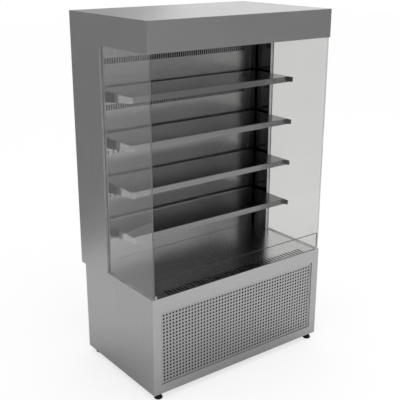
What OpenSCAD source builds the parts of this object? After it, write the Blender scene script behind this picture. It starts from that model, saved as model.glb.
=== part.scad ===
// Open-fronted refrigerated display case with four shelves, for packed chilled goods.
// Units are millimetres. X runs along the case, Y from its front to its back, Z up from the floor.
// Inside the modules Y counts from the front face, and cab() moves each piece so that the
// origin lies on the floor under the middle of the case.

/* [Cabinet] */
// Overall length
cab_w = 1200; // [1000:10:1800]
// Overall depth at the header
cab_d = 745; // [740:1:790]
// Overall height with the feet screwed in
cab_h = 2000; // [1970:5:2200]
// Height of the header above the open front
header_h = 152; // [120:1:180]
// Thickness of each insulated end wall
wall_t = 30; // [28:1:40]
// Thickness of the insulated rear wall
rear_t = 35; // [30:1:40]
// Thickness of the insulated roof
roof_t = 42; // [30:1:60]
// Thickness of the folded steel sheet
sheet_t = 1.2; // [0.8:0.1:1.5]
// Clearance round panels that nest, lift or slide
fit = 0.3; // [0.2:0.05:0.5]

/* [Base] */
// Depth of the rear wall's overhang behind the base
overhang_d = 45; // [35:1:55]
// Height of the deck and of the base's top edge
base_top = 598; // [575:1:640]
// Height of the overhang's underside below the deck
overhang_drop = 34; // [30:1:40]
// Clear height under the base
foot_h = 35; // [30:1:50]
// Width of the front frame beside the ventilation grille
frame_side = 51; // [45:1:80]
// Height of the front frame above the grille
frame_top = 83; // [82:1:100]
// Height of the front frame below the grille
frame_bottom = 53; // [45:1:70]
// Depth of the folded return round the grille's opening
frame_return = 18; // [16:1:22]

/* [Grille] */
// Depth of the grille panel behind the front face
grille_recess = 6; // [1:0.5:8]
// Width of the rebate that shows beside the grille panel
grille_gap = 8; // [2:0.5:10]
// Clearance above the grille panel
grille_top_gap = 4; // [1:0.5:6]
// Width of the panel's edge that rests against the rebate
grille_lap = 4; // [3:0.5:5]
// Least distance from the panel's edge to the first hole centres
grille_margin = 12; // [10:1:30]
// Diameter of the ventilation holes
hole_d = 12; // [6:0.5:14]
// Distance between hole columns
hole_pitch_x = 20.7; // [19:0.1:30]
// Distance between hole rows
hole_pitch_z = 20.2; // [19:0.1:30]

/* [Glazing] */
// Depth of the glazed part of the end walls
opening_d = 446; // [400:1:470]
// Thickness of the end panes
pane_t = 8; // [6:1:10]
// Distance from the end wall's outer face to the pane
pane_inset = 8; // [6:0.5:9]
// Depth of the groove that holds a pane
groove_d = 12; // [9:1:16]
// Wall of the glazing gasket
gasket_t = 1; // [0.8:0.1:1.5]
// Height of the low front pane above the deck
low_glass_h = 102; // [60:1:150]
// Thickness of the low front pane
low_glass_t = 6; // [5:1:8]
// Depth of the low pane's seat in its channel
low_glass_seat = 11; // [8:1:14]
// Height of the end tabs in front of the low pane
tab_h = 20; // [10:1:30]

/* [Shelves] */
// Height of the lowest bracket above the deck
shelf_first = 262; // [240:1:280]
// Distance between shelves
shelf_pitch = 250; // [220:1:255]
// Distance from the front face to the brackets' noses
bracket_front = 220; // [150:1:260]
// Distance from a bracket's nose back to the shelf's lip
shelf_setback = 33; // [10:1:50]
// Distance from the shelf's rear edge to the back panel
shelf_rear_gap = 22; // [18:1:40]
// Height of the brackets above the shelf's surface
shelf_drop = 5; // [2:1:8]
// Height of the shelf's front lip
shelf_lip = 33; // [28:1:45]
// Height of the shelf's folded sides
shelf_side = 20; // [14:1:22]
// Side clearance between a shelf and its brackets
shelf_gap = 1; // [0.5:0.1:2]
// Height of a bracket at its nose
bracket_nose_h = 33; // [30:1:36]
// Height of a bracket at its root
bracket_root_h = 78; // [76:1:84]
// Thickness of the bracket plate
bracket_t = 3; // [2:0.5:4]
// Width of the ledge that carries the shelf's side
ledge_w = 12; // [8:1:20]
// Distance from the end wall to the bracket's outer face
bracket_inset = 27; // [22:1:40]

/* [Uprights] */
// Width of the slotted uprights
upright_w = 30; // [24:1:36]
// Depth of the slotted uprights
upright_d = 15; // [13:1:17]
// Sheet thickness of the uprights
upright_t = 1.5; // [1:0.1:2]
// Upright slots in one shelf pitch
slots_per_pitch = 5; // [5:1:6]
// Height of an upright slot
upright_slot_h = 26; // [25:0.5:28]
// Height of a bracket hook's neck
hook_neck = 14; // [10:0.5:14]
// Length of a hook's tongue below its neck
hook_drop = 8; // [5:0.5:9]
// Width of a hook's tongue along Y
hook_w = 5; // [4:0.5:6]

/* [Deck and back panel] */
// Depth of the air duct behind the back panel
duct_d = 123; // [121:1:130]
// Thickness of the deck plate
deck_t = 1.5; // [1:0.1:2]
// Clearance at each end of the deck
deck_gap = 2; // [1:0.5:4]
// Depth of the air space under the deck
tub_depth = 52; // [40:1:54]
// Thickness of the insulated floor under that space
tub_wall = 26; // [20:1:28]
// Distance from the base's rear face to the air space
tub_rear_t = 30; // [25:1:34]
// Height of the rear ledge above the deck
ledge_rise = 4; // [2:1:8]
// Height of the fan plate above the rear ledge
fan_plate_rise = 38; // [25:1:50]
// Width of a return air slot
deck_slot_w = 10; // [6:1:14]
// Length of a return air slot
deck_slot_l = 54; // [40:1:80]
// Distance between return air slots
deck_slot_pitch = 23.5; // [18:0.5:40]
// Least distance from the deck's end to a return air slot
deck_slot_margin = 84; // [60:1:120]
// Width of the rim in front of the return air slots
deck_rim = 2.7; // [2:0.1:6]
// Width of an air slot in the back panel
air_slot_w = 7; // [4:0.5:8]
// Height of an air slot in the two full rows
air_slot_h = 26; // [16:1:34]
// Height of an air slot in the three open rows
air_slot_h_low = 22; // [14:1:30]
// Distance between air slots in a full row
air_slot_pitch = 15; // [12:0.5:24]
// Least distance from the back panel's end to an air slot
air_slot_margin = 85; // [60:1:120]
// Distance from a shelf's level down to its row of air slots
air_slot_drop = 120; // [100:1:140]

/* [Header] */
// Depth of the lip under the header's front
fascia_lip = 5; // [3:1:8]
// Depth of the lamp housing
lamp_d = 32; // [24:1:40]
// Height of the lamp housing
lamp_h = 24; // [16:1:30]
// Wall of the lamp housing
lamp_t = 1.5; // [1:0.1:2]
// Thickness of the lamp's diffuser
diffuser_t = 3; // [2:0.5:4]
// Depth of the honeycomb air outlet
comb_d = 53; // [45:1:70]
// Height of the honeycomb air outlet
comb_h = 40; // [25:1:60]
// Distance between honeycomb cells
comb_pitch = 18; // [14:1:24]
// Wall between honeycomb cells
comb_wall = 1.5; // [1:0.1:3]
// Height of the ceiling panel's folded edges
ceiling_fold = 15; // [10:1:25]

/* [Evaporator] */
// Distance from an end wall to the fin block
evap_end_gap = 70; // [66:1:120]
// Depth of the fin block
evap_d = 112; // [100:1:116]
// Distance between rows of tube
evap_row = 50; // [40:1:60]
// Height of the fin block above the fan plate
evap_rise = 56; // [46:1:80]
// Distance between the evaporator's fins
evap_fin_pitch = 20; // [16:1:40]
// Distance from the case's middle to each fan
evap_fan_x = 270; // [200:1:350]
// Side of a fan frame
fan_side = 119; // [100:1:120]
// Height of a fan frame
fan_h = 38; // [32:1:44]
// Rim between a fan frame's bore and its side
fan_rim = 3.5; // [2:0.5:8]

/* [Condensing unit] */
// Distance from the left end wall to the condenser
cond_end_gap = 90; // [80:1:120]
// Length of the condenser's fin block
cond_w = 400; // [340:5:440]
// Depth of the condenser's fin block
cond_d = 60; // [50:1:80]
// Distance between its rows of tube
cond_row = 44; // [40:1:48]
// Distance between the condenser's fins
cond_fin_pitch = 10; // [8:1:20]
// Distance from the front face to the condenser
cond_y = 60; // [40:1:80]
// Radius of the opening in the condenser fan's ring
cond_bore_r = 125; // [90:1:132]
// Distance from the condenser's ports to the compressor's axis
comp_gap = 208; // [200:1:230]
// Distance from the front face to the compressor's axis
comp_y = 420; // [400:5:440]
// Radius of the compressor's shell
comp_r = 88; // [70:1:95]
// Height of the compressor's shell
comp_h = 210; // [160:5:240]
// Radius of the refrigerant pipes
pipe_r = 4; // [3:0.5:5]
// Bend radius of the refrigerant pipes
pipe_bend = 12; // [10:1:13]

/* [Drain] */
// Distance from the left end wall to the evaporation tray
tray_end_gap = 95; // [80:1:140]
// Length of the evaporation tray
tray_w = 350; // [250:5:400]
// Depth of the evaporation tray
tray_d = 170; // [120:5:180]
// Height of the evaporation tray
tray_h = 44; // [30:1:60]
// Wall of the evaporation tray
tray_t = 2; // [1:0.5:3]
// Distance from the air space's rear wall to the drain's axis
drain_inset = 70; // [65:1:90]
// Inner radius of the drain pipe
drain_r = 14; // [10:1:18]
// Wall of the drain pipe
drain_wall = 2; // [1:0.5:3]

/* [Controls] */
// Distance from the right end wall to the electrical box
box_end_gap = 30; // [20:1:60]
// Length of the electrical box
box_w = 210; // [180:5:240]
// Depth of the electrical box
box_d = 100; // [60:5:120]
// Height of the electrical box
box_h = 200; // [180:5:240]
// Distance from the front face to the electrical box
box_y = 62; // [50:1:80]
// Height of the knob and the switch above the base pan
control_rise = 124; // [80:1:140]
// Distance from the box's middle to the knob and to the switch
control_x = 52; // [35:1:60]
// Radius of the thermostat knob
knob_r = 19; // [12:1:24]
// Height of the thermostat knob
knob_h = 14; // [10:1:20]
// Width of the rocker switch
rocker_w = 22; // [14:1:26]
// Height of the rocker switch
rocker_h = 30; // [22:1:36]
// Angle between the rocker's two positions
rocker_throw = 20; // [12:1:22]

/* [Feet] */
// Distance from the end wall's outer face to a foot's axis
foot_inset_x = 42; // [42:1:60]
// Distance from the front face to the front feet's axes
foot_front = 24; // [22:1:40]
// Distance from the base's rear face to the rear feet's axes
foot_rear = 50; // [22:1:60]
// Radius of a foot's pad
pad_r = 19; // [15:0.5:24]
// Radius of a foot's threaded stud
stud_r = 5; // [4:0.5:6]
// Length of the stud above the base's underside
stud_up = 40; // [38:1:50]

/* [Hidden] */
$fn = 40;

STEEL = "#9a9a9a";
STEEL_DARK = "#707070";
LINER = "#858585";
FOAM = "#d8cfae";
GLASS = [0.82, 0.86, 0.86, 0.35];
RUBBER = "#202020";
BLACK = "#1a1a1a";
ALUMINIUM = "#b9bcbf";
COPPER = "#b06a42";

// Planes and edges that several pieces share
half_w = cab_w / 2;
base_d = cab_d - overhang_d;
skin_x = half_w - sheet_t;
liner_x = half_w - wall_t;
inner_x = liner_x - fit;
header_z = cab_h - header_h;
roof_z = cab_h - roof_t;
overhang_z = base_top - overhang_drop;
rear_y = cab_d - rear_t;
back_y = rear_y - duct_d;
pane_x = half_w - pane_inset;
groove_x0 = pane_x - pane_t - gasket_t;
groove_x1 = pane_x + gasket_t;
pan_z = foot_h + sheet_t;
floor_z = pan_z + fit;

// Grille opening in the front frame
grille_x = half_w - frame_side;
grille_z0 = foot_h + frame_bottom;
grille_z1 = base_top - frame_top;
grille_return = frame_return - sheet_t - fit - grille_recess;

// Channel of the low front pane, and the air space behind it
channel_t = 1;
channel_y0 = sheet_t + channel_t;
channel_y1 = channel_y0 + low_glass_t + channel_t;
channel_z = base_top - low_glass_seat - channel_t;
deck_y0 = channel_y1 + fit;
deck_x = liner_x - deck_gap;
tub_y0 = deck_y0 + sheet_t;
tub_y1 = base_d - tub_rear_t;
tub_z = base_top - tub_depth;
tub_under = tub_z - tub_wall;
lip_z = base_top - deck_t - fit;
ledge_z = base_top + ledge_rise;
plate_z = ledge_z + fan_plate_rise;

// Shelves, brackets and uprights
bracket_x = liner_x - bracket_inset;
upright_x = bracket_x - bracket_t / 2;
upright_y = back_y - upright_d;
upright_slot_w = bracket_t + 2;
slot_pitch = shelf_pitch / slots_per_pitch;
hook_below = 6;
shelf_x = bracket_x - bracket_t - shelf_gap;
shelf_y0 = bracket_front + shelf_setback;
shelf_y1 = back_y - shelf_rear_gap;
shelf_hem = 10;
ledge_t = 1.5;

// Header
lamp_y = sheet_t + fascia_lip + fit;
comb_y = lamp_y + lamp_d + fit;
ceiling_y = comb_y + comb_d + fit;

// Evaporator and its fans
duct_y = back_y + sheet_t;
duct_mid = (duct_y + rear_y) / 2;
evap_rows = 5;
evap_w = 2 * (liner_x - evap_end_gap);
evap_y = duct_mid - evap_d / 2;
evap_z = plate_z + sheet_t + evap_rise;
fin_t = 1;
coil_end_t = 2;
tube_r = 5;
coil_stub = 22;
fan_z = plate_z + sheet_t;
fan_bore_r = fan_side / 2 - fan_rim;
fan_hub_r = 20;
fan_hub_h = 12;
fan_pin_r = 2;
spin_gap = 0.05;
tip_gap = 2;

// Condensing unit
cond_rows = 7;
cond_x = -(liner_x - cond_end_gap - cond_w / 2);
cond_h = cond_rows * cond_row;
cond_back = cond_y + cond_d + fit;
cond_mid_z = floor_z + cond_h / 2;
cond_ring_d = 38;
cond_motor_r = 42;
cond_motor_h = 46;
cond_hub_r = 32;
cond_pin_r = 4;
comp_x = cond_x + cond_w / 2 + coil_stub + comp_gap;
comp_foot_h = 20;
comp_plate_t = 4;
comp_plate_d = 150;
comp_shoulder = 30;
comp_z = floor_z + comp_foot_h + comp_plate_t;
comp_port_x = 42;
comp_port_h = 24;
drier_x = cond_x + cond_w / 2 + coil_stub + 78;
drier_r = 13;
drier_l = 90;
liquid_y = 260;
riser_x = liner_x - 25;
riser_y = tub_y1 - 20;
riser_gap = 1;
suction_z = floor_z + 84;
crossing_rise = 36;

// Drain, tray, cable gland and rear louvres
drain_x = -(liner_x - tray_end_gap - tray_w / 2);
drain_y = tub_y1 - drain_inset;
drain_flange = 6;
gland_x = liner_x - 120;
gland_z = floor_z + 70;
gland_r = 9;
louvre_w = 220;
louvre_h = 8;
louvre_out = 8;
louvre_pitch = 34;
louvre_x = 160;

// Controls
box_x = liner_x - box_end_gap - box_w / 2;
control_z = floor_z + control_rise;
spindle_r = 3;
spindle_l = 20;
rocker_pin_r = 2;
rocker_pin_l = 3;
rocker_gap = 0.6;
rocker_depth = 2;

// Feet
foot_x = half_w - foot_inset_x;
stud_gap = 0.1;
boss_r = stud_r + 4;
boss_h = 16;

function shelf_z(i) = base_top + shelf_first + (i - 1) * shelf_pitch;
function air_row_z(i) = shelf_z(i + 1) - air_slot_drop;
function hook_z(i, k) = shelf_z(i) - hook_below - hook_neck - k * slot_pitch;
function copies(length, margin, pitch) = floor((length - 2 * margin) / pitch) + 1;
function spread(n, pitch) = [for (i = [0 : n - 1]) (i - (n - 1) / 2) * pitch];
function unit(v) = v / norm(v);

// Heights and depths of the coils' first row of tube
function evap_tube(col) = [evap_w / 2 + coil_stub, evap_y + (0.25 + col / 2) * evap_d,
    evap_z + evap_row / 2];
function cond_tube(col) = [cond_x + cond_w / 2 + coil_stub, cond_y + (0.25 + col / 2) * cond_d,
    floor_z + cond_row / 2];

// End-wall outline in the Y-Z plane, "e" inside its outer edges and "f" behind the glazed opening
function wall_outline(e, f) = [
    [e, foot_h + e], [base_d - e, foot_h + e], [base_d - e, overhang_z + e],
    [cab_d - e, overhang_z + e], [cab_d - e, cab_h - e], [e, cab_h - e],
    [e, header_z + f], [opening_d + f, header_z + f],
    [opening_d + f, base_top - f], [e, base_top - f]];

// Outline of the cooled space in the Y-Z plane, grown by "e" at its floor, rear wall and roof
function cavity_outline(e) = [
    [tub_y0 - e, lip_z], [tub_y0 - e, tub_z - e], [tub_y1 + e, tub_z - e],
    [tub_y1 + e, ledge_z - e], [rear_y + e, ledge_z - e], [rear_y + e, roof_z + e],
    [sheet_t, roof_z + e], [sheet_t, lip_z]];

module cab() {
    translate([0, -cab_d / 2, 0]) children();
}

module sided(side) {
    mirror([side < 0 ? 1 : 0, 0, 0]) children();
}

// Block between two opposite corners
module span(a, b) {
    translate(a) cube(b - a);
}

// Rectangle between two opposite corners
module area(a, b) {
    translate(a) square(b - a);
}

// Plate whose Y-Z outline is drawn by the children, from x to x + t
module plate_x(x, t) {
    translate([x, 0, 0]) rotate([90, 0, 90]) linear_extrude(t) children();
}

// Plate whose X-Z outline is drawn by the children, from y to y + t
module plate_y(y, t) {
    translate([0, y + t, 0]) rotate([90, 0, 0]) linear_extrude(t) children();
}

// Plate whose X-Y outline is drawn by the children, from z to z + t
module plate_up(z, t) {
    translate([0, 0, z]) linear_extrude(t) children();
}

// Turns a piece drawn along Z so that it runs back along Y from a point
module along_y(p) {
    translate(p) rotate([-90, 0, 0]) children();
}

// Slot with round ends, its length along the drawing's second axis
module long_slot(w, l) {
    square([w, l - w], center = true);
    for (s = [-1, 1]) translate([0, s * (l - w) / 2]) circle(d = w);
}

// Strip along the three edges of the glazed opening, from "f0" to "f1" behind them
module edge_strip(e, f0, f1) {
    difference() {
        polygon(wall_outline(e, f0));
        polygon(wall_outline(e, f1));
    }
}

module side_skin(side) {
    color(STEEL) cab() sided(side) {
        plate_x(skin_x, sheet_t) polygon(wall_outline(0, 0));
        plate_x(groove_x1, skin_x - groove_x1) edge_strip(sheet_t, 0, sheet_t);
    }
}

module side_liner(side) {
    color(LINER) cab() sided(side) {
        plate_x(liner_x, sheet_t) polygon(wall_outline(sheet_t, 0));
        plate_x(liner_x + sheet_t, groove_x0 - liner_x - sheet_t) edge_strip(sheet_t, 0, sheet_t);
    }
}

module side_foam(side) {
    color(FOAM) cab() sided(side) difference() {
        plate_x(liner_x + sheet_t, wall_t - 2 * sheet_t) polygon(wall_outline(sheet_t, sheet_t));
        plate_x(groove_x0, groove_x1 - groove_x0) edge_strip(0, 0, groove_d);
    }
}

module side_glass(side) {
    edge = groove_d - gasket_t;
    color(GLASS) cab() sided(side) plate_x(pane_x - pane_t, pane_t)
        area([sheet_t + fit, base_top - edge], [opening_d + edge, header_z + edge]);
}

module glass_gaskets() {
    color(RUBBER) cab() for (side = [-1, 1]) sided(side) difference() {
        plate_x(groove_x0, groove_x1 - groove_x0) edge_strip(sheet_t + fit, 0, groove_d);
        plate_x(pane_x - pane_t, pane_t)
            area([0, base_top - groove_d + gasket_t],
                [opening_d + groove_d - gasket_t, header_z + groove_d - gasket_t]);
    }
}

module rear_skin() {
    color(STEEL) cab() {
        span([-skin_x, cab_d - sheet_t, overhang_z], [skin_x, cab_d, cab_h - sheet_t]);
        span([-skin_x, base_d - sheet_t, overhang_z], [skin_x, cab_d, overhang_z + sheet_t]);
    }
}

module roof_skin() {
    color(STEEL) cab() span([-skin_x, 0, cab_h - sheet_t], [skin_x, cab_d, cab_h]);
}

// Holes through the insulated floor for the drain and the two refrigerant pipes
module floor_openings() {
    translate([drain_x, drain_y, tub_under - 1])
        cylinder(r = drain_r + drain_wall + fit, h = tub_wall + 2);
    for (y = [evap_tube(0).y, riser_y]) translate([riser_x, y, tub_under - 1])
        cylinder(r = pipe_r + riser_gap, h = tub_wall + 2);
}

module inner_liner() {
    color(LINER) cab() difference() {
        plate_x(-liner_x, 2 * liner_x) difference() {
            polygon(cavity_outline(sheet_t));
            polygon(cavity_outline(0));
        }
        floor_openings();
    }
}

module cabinet_foam() {
    shell = [
        [sheet_t, tub_under + sheet_t], [base_d - sheet_t, tub_under + sheet_t],
        [base_d - sheet_t, overhang_z + sheet_t], [cab_d - sheet_t, overhang_z + sheet_t],
        [cab_d - sheet_t, cab_h - sheet_t], [sheet_t, cab_h - sheet_t]];
    color(FOAM) cab() difference() {
        plate_x(-liner_x, 2 * liner_x) difference() {
            polygon(shell);
            polygon(cavity_outline(sheet_t));
            area([0, channel_z], [deck_y0 + sheet_t, roof_z]);
        }
        floor_openings();
    }
}

module tub_skin() {
    color(STEEL_DARK) cab() difference() {
        span([-liner_x, sheet_t, tub_under], [liner_x, base_d - sheet_t, tub_under + sheet_t]);
        floor_openings();
    }
}

module header_fascia() {
    color(STEEL) cab() {
        span([-skin_x, 0, header_z], [skin_x, sheet_t, cab_h - sheet_t]);
        span([-inner_x, 0, header_z], [inner_x, sheet_t + fascia_lip, header_z + sheet_t]);
    }
}

module ceiling_panel() {
    y1 = back_y + sheet_t;
    color(LINER) cab() {
        span([-inner_x, ceiling_y, header_z], [inner_x, y1, header_z + sheet_t]);
        span([-inner_x, ceiling_y, header_z], [inner_x, ceiling_y + sheet_t, header_z + ceiling_fold]);
        for (side = [-1, 1]) sided(side)
            span([inner_x - sheet_t, ceiling_y, header_z], [inner_x, y1, header_z + ceiling_fold]);
    }
}

// Air outlet: hexagonal cells in rows that are half a cell apart
module air_honeycomb() {
    row = comb_pitch * sqrt(3) / 2;
    cell_r = (comb_pitch - comb_wall) / sqrt(3);
    rows = floor((comb_d - 2 * comb_wall - 2 * cell_r) / row) + 1;
    cells = floor((2 * inner_x - 2 * comb_wall) / comb_pitch) - 1;
    color(ALUMINIUM) cab() plate_up(header_z, comb_h) difference() {
        area([-inner_x, comb_y], [inner_x, comb_y + comb_d]);
        for (r = [0 : rows - 1])
            for (x = spread(cells, comb_pitch))
                translate([x + (r % 2 - 0.5) * comb_pitch / 2,
                    comb_y + comb_d / 2 + (r - (rows - 1) / 2) * row])
                    rotate(30) circle(r = cell_r, $fn = 6);
    }
}

module lamp_housing() {
    color(ALUMINIUM) cab() plate_x(-inner_x, 2 * inner_x) difference() {
        area([lamp_y, header_z], [lamp_y + lamp_d, header_z + lamp_h]);
        area([lamp_y + lamp_t, header_z - 1], [lamp_y + lamp_d - lamp_t, header_z + lamp_h - lamp_t]);
    }
}

module lamp_diffuser() {
    color("#f2f2ee") cab() span([-inner_x, lamp_y + lamp_t, header_z],
        [inner_x, lamp_y + lamp_d - lamp_t, header_z + diffuser_t]);
}

module deck_plate() {
    slots = copies(2 * deck_x, deck_slot_margin, deck_slot_pitch);
    slot_y = deck_y0 + deck_rim + deck_slot_l / 2;
    leg_y0 = deck_y0 + deck_rim + deck_slot_l + 8;
    leg_y1 = upright_y - 10;
    notch = upright_w / 2 + deck_gap;
    color(STEEL_DARK) cab() {
        plate_up(base_top - deck_t, deck_t) difference() {
            area([-deck_x, deck_y0], [deck_x, back_y - fit]);
            for (x = spread(slots, deck_slot_pitch)) translate([x, slot_y])
                long_slot(deck_slot_w, deck_slot_l);
            for (s = [-1, 1]) translate([s * upright_x, 0])
                area([-notch, upright_y - deck_gap], [notch, back_y]);
        }
        for (x = [-deck_x, -deck_t / 2, deck_x - deck_t])
            span([x, leg_y0, tub_z + fit], [x + deck_t, leg_y1, base_top - deck_t]);
    }
}

module back_panel() {
    lip = 12;
    z0 = base_top + 1;
    color(LINER) cab() {
        plate_y(back_y, sheet_t) difference() {
            area([-inner_x, z0], [inner_x, header_z - fit]);
            for (row = [0 : 4]) {
                full = row > 2;
                pitch = full ? air_slot_pitch : 2 * air_slot_pitch;
                for (x = spread(copies(2 * inner_x, air_slot_margin, pitch), pitch))
                    translate([x, air_row_z(row)])
                        long_slot(air_slot_w, full ? air_slot_h : air_slot_h_low);
            }
        }
        span([-inner_x, back_y, z0], [inner_x, duct_y + lip, z0 + sheet_t]);
    }
}

// Channel-shaped standard, slotted for the bracket hooks
module upright() {
    z_low = hook_z(1, 2) - fit;
    rows = floor((header_z - upright_slot_h - 10 - z_low) / slot_pitch);
    translate([upright_x, upright_y, 0]) difference() {
        plate_up(tub_z, header_z - fit - tub_z) difference() {
            area([-upright_w / 2, 0], [upright_w / 2, upright_d]);
            area([upright_t - upright_w / 2, upright_t], [upright_w / 2 - upright_t, upright_d + 1]);
        }
        for (i = [0 : rows]) translate([0, 0, z_low + i * slot_pitch])
            span([-upright_slot_w / 2, -1, 0], [upright_slot_w / 2, upright_t + 1, upright_slot_h]);
    }
}

module shelf_uprights() {
    color(STEEL) cab() for (side = [-1, 1]) sided(side) upright();
}

// Shelf tray: flat top, hemmed front lip, folded sides and rear edge
module shelf(i) {
    top = shelf_z(i) - shelf_drop;
    under = top - shelf_side;
    color(STEEL_DARK) cab() {
        span([-shelf_x, shelf_y0, top - sheet_t], [shelf_x, shelf_y1, top]);
        span([-shelf_x, shelf_y0, top - shelf_lip], [shelf_x, shelf_y0 + sheet_t, top]);
        span([-shelf_x, shelf_y0, top - shelf_lip],
            [shelf_x, shelf_y0 + shelf_hem, top - shelf_lip + sheet_t]);
        span([-shelf_x, shelf_y1 - sheet_t, under], [shelf_x, shelf_y1, top]);
        for (side = [-1, 1]) sided(side)
            span([shelf_x - sheet_t, shelf_y0, under], [shelf_x, shelf_y1, top]);
    }
}

// Cantilever bracket: tapered plate, two hooks at its root and a ledge under the shelf's side
module bracket(side, i) {
    z = shelf_z(i);
    root_y = upright_y - fit;
    tongue_y = upright_y + upright_t + fit;
    chamfer = 4;
    ledge_top = z - shelf_drop - shelf_side - fit;
    color(STEEL) cab() sided(side) {
        plate_x(bracket_x - bracket_t, bracket_t) {
            polygon([[bracket_front, z], [bracket_front, z - bracket_nose_h + chamfer],
                [bracket_front + chamfer, z - bracket_nose_h], [root_y, z - bracket_root_h],
                [root_y, z]]);
            for (k = [0, 1]) {
                area([root_y - 1, hook_z(i, k)], [tongue_y + hook_w, hook_z(i, k) + hook_neck]);
                area([tongue_y, hook_z(i, k) - hook_drop], [tongue_y + hook_w, hook_z(i, k) + 1]);
            }
        }
        span([bracket_x - bracket_t - ledge_w, shelf_y0 + shelf_hem + 2, ledge_top - ledge_t],
            [bracket_x - 1, shelf_y1 - 5, ledge_top]);
    }
}

module front_glass() {
    color(GLASS) cab() plate_y(channel_y0, low_glass_t) {
        area([-inner_x, base_top - low_glass_seat], [inner_x, base_top + low_glass_h]);
        area([-groove_x0, base_top + fit], [groove_x0, base_top + low_glass_h]);
    }
}

// Front of the base: sheet round the grille's opening, rebate, pane channel and end tabs
module front_frame() {
    seat = grille_gap + grille_lap;
    top_seat = grille_top_gap + grille_lap;
    low_seat = fit + grille_lap;
    color(STEEL) cab() {
        plate_y(0, sheet_t) difference() {
            area([-skin_x, foot_h], [skin_x, base_top]);
            area([-grille_x, grille_z0], [grille_x, grille_z1]);
        }
        plate_y(0, frame_return) difference() {
            area([-grille_x - sheet_t, grille_z0 - sheet_t], [grille_x + sheet_t, grille_z1 + sheet_t]);
            area([-grille_x, grille_z0], [grille_x, grille_z1]);
        }
        plate_y(frame_return - sheet_t, sheet_t) difference() {
            area([-grille_x - sheet_t, grille_z0 - sheet_t], [grille_x + sheet_t, grille_z1 + sheet_t]);
            area([seat - grille_x, grille_z0 + low_seat], [grille_x - seat, grille_z1 - top_seat]);
        }
        plate_x(-inner_x, 2 * inner_x) difference() {
            area([0, channel_z], [channel_y1, base_top]);
            area([channel_y0, channel_z + channel_t], [channel_y1 - channel_t, base_top + 1]);
        }
        for (side = [-1, 1]) sided(side)
            span([liner_x + sheet_t, 0, base_top - 5], [groove_x0, sheet_t, base_top + tab_h]);
    }
}

// Ventilation panel: square grid of round holes in a tray with folded edges
module grille_panel() {
    x = grille_x - grille_gap;
    z0 = grille_z0 + fit;
    z1 = grille_z1 - grille_top_gap;
    columns = copies(2 * x, grille_margin, hole_pitch_x);
    rows = copies(z1 - z0, grille_margin, hole_pitch_z);
    color(STEEL) cab() {
        plate_y(grille_recess, sheet_t) difference() {
            area([-x, z0], [x, z1]);
            translate([0, (z0 + z1) / 2])
                for (cx = spread(columns, hole_pitch_x), cz = spread(rows, hole_pitch_z))
                    translate([cx, cz]) circle(d = hole_d);
        }
        plate_y(grille_recess, grille_return) difference() {
            area([-x, z0], [x, z1]);
            area([sheet_t - x, z0 + sheet_t], [x - sheet_t, z1 - sheet_t]);
        }
    }
}

module at_feet() {
    for (side = [-1, 1], y = [foot_front, base_d - foot_rear]) translate([side * foot_x, y, 0])
        children();
}

module base_pan() {
    color(STEEL_DARK) cab() difference() {
        union() {
            span([-skin_x, sheet_t, foot_h], [skin_x, base_d - sheet_t, pan_z]);
            at_feet() translate([0, 0, foot_h]) cylinder(r = boss_r, h = sheet_t + boss_h);
        }
        at_feet() translate([0, 0, foot_h - 1])
            cylinder(r = stud_r + stud_gap, h = sheet_t + boss_h + 2);
    }
}

// Foot: flared pad with a threaded stud, its neck against the base at rest
module foot(side, y) {
    neck_r = pad_r / 2;
    color(BLACK) cab() translate([side * foot_x, y, 0]) {
        rotate_extrude() polygon([[0, 0], [pad_r - 4, 0], [pad_r - 1, 3], [pad_r, 7],
            [pad_r - 1, 10], [neck_r, foot_h - 6], [neck_r, foot_h], [0, foot_h]]);
        translate([0, 0, foot_h - 1]) cylinder(r = stud_r, h = stud_up + 1);
    }
}

// Rear cover of the machine compartment, with rows of hooded louvres
module rear_cover() {
    rows = floor((tub_under - gland_z - 40) / louvre_pitch);
    z0 = gland_z + 40;
    color(STEEL_DARK) cab() {
        plate_y(base_d - sheet_t, sheet_t) difference() {
            area([-skin_x, foot_h], [skin_x, overhang_z]);
            for (side = [-1, 1], i = [0 : rows - 1])
                translate([side * louvre_x - louvre_w / 2, z0 + i * louvre_pitch])
                    square([louvre_w, louvre_h]);
            translate([gland_x, gland_z]) circle(r = gland_r + fit);
        }
        for (side = [-1, 1], i = [0 : rows - 1]) {
            top = z0 + i * louvre_pitch + louvre_h;
            plate_x(side * louvre_x - louvre_w / 2, louvre_w)
                polygon([[base_d - sheet_t, top], [base_d, top], [base_d + louvre_out, top - louvre_h],
                    [base_d + louvre_out, top - louvre_h + sheet_t], [base_d, top + sheet_t],
                    [base_d - sheet_t, top + sheet_t]]);
        }
    }
}

// Cable inlet: lock nut, body and clamping cap, with an open bore for the lead
module cable_gland() {
    nut_t = 6;
    cap_l = 16;
    color(BLACK) cab() along_y([gland_x, base_d, gland_z]) difference() {
        union() {
            translate([0, 0, -sheet_t - nut_t]) cylinder(r = gland_r, h = sheet_t + nut_t + 1);
            translate([0, 0, -sheet_t - nut_t]) cylinder(r = gland_r + 5, h = nut_t, $fn = 6);
            cylinder(r = gland_r + 5, h = nut_t, $fn = 6);
            translate([0, 0, nut_t]) cylinder(r1 = gland_r + 3, r2 = gland_r - 2, h = cap_l);
        }
        translate([0, 0, -sheet_t - nut_t - 1]) cylinder(r = gland_r / 2, h = 60);
    }
}

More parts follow.
